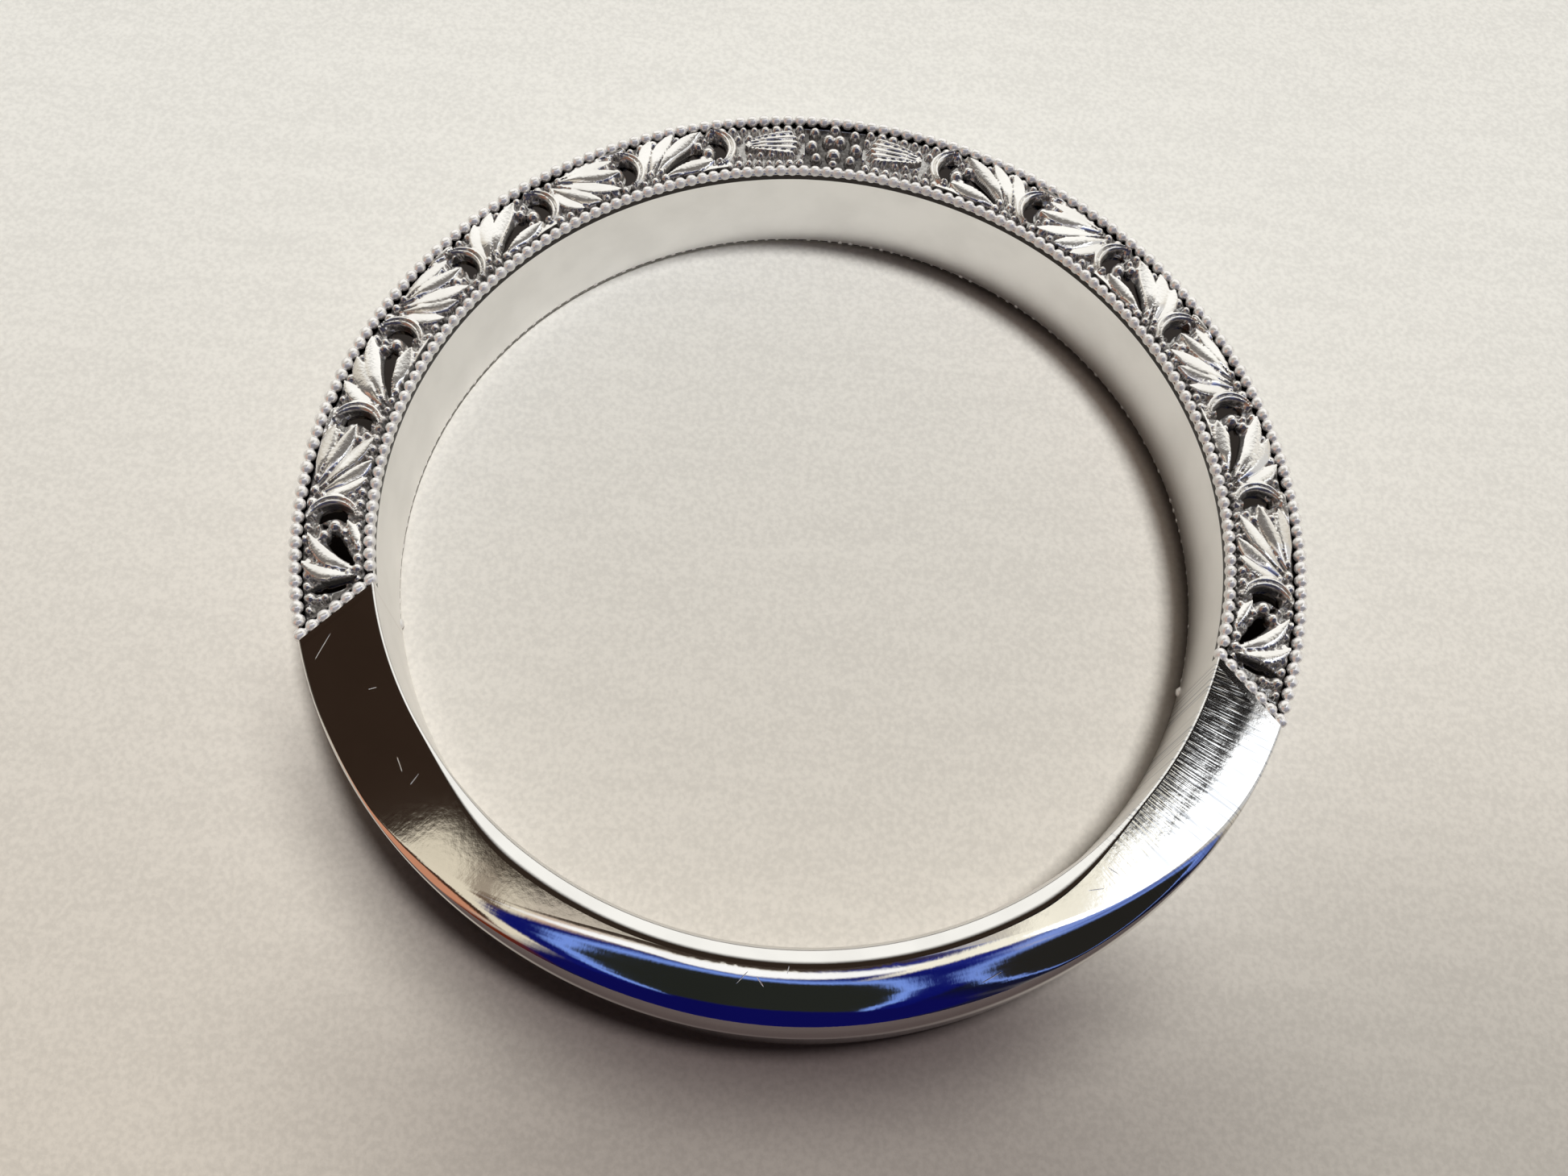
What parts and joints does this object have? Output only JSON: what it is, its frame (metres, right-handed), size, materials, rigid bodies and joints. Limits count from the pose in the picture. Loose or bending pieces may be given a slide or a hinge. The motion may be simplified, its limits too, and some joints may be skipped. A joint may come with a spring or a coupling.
{
  "type": "wedding band",
  "caption": "Narrow white-metal finger ring: a side-engraved arch with beaded edges, closed by a plain polished shank.",
  "frame": {"origin": "on the axis of the finger hole, at half the band's width", "axes": "+Z along the finger hole, out of the engraved side that faces up; +Y towards the middle of the engraved arch; -Y towards the middle of the plain shank"},
  "size_m": [0.0202, 0.0201, 0.0026],
  "materials": {
    "engraved_metal": "white gold, bright-cut by hand, darker in the recesses",
    "polished_metal": "white gold, mirror polish with fine hairline scratches from wear",
    "beaded_metal": "white gold, rolled beads, bright on top and dark between",
    "solder_metal": "white-gold solder, polished flush, a shade greyer"
  },
  "bodies": {
    "root": {"engraved_arch": "engraved_metal", "plain_shank": "polished_metal", "left_solder_seam": "solder_metal", "right_solder_seam": "solder_metal", "upper_inner_milgrain": "beaded_metal", "upper_outer_milgrain": "beaded_metal", "lower_inner_milgrain": "beaded_metal", "lower_outer_milgrain": "beaded_metal", "upper_left_border": "beaded_metal", "upper_right_border": "beaded_metal", "lower_left_border": "beaded_metal", "lower_right_border": "beaded_metal"}
  },
  "joints": []
}
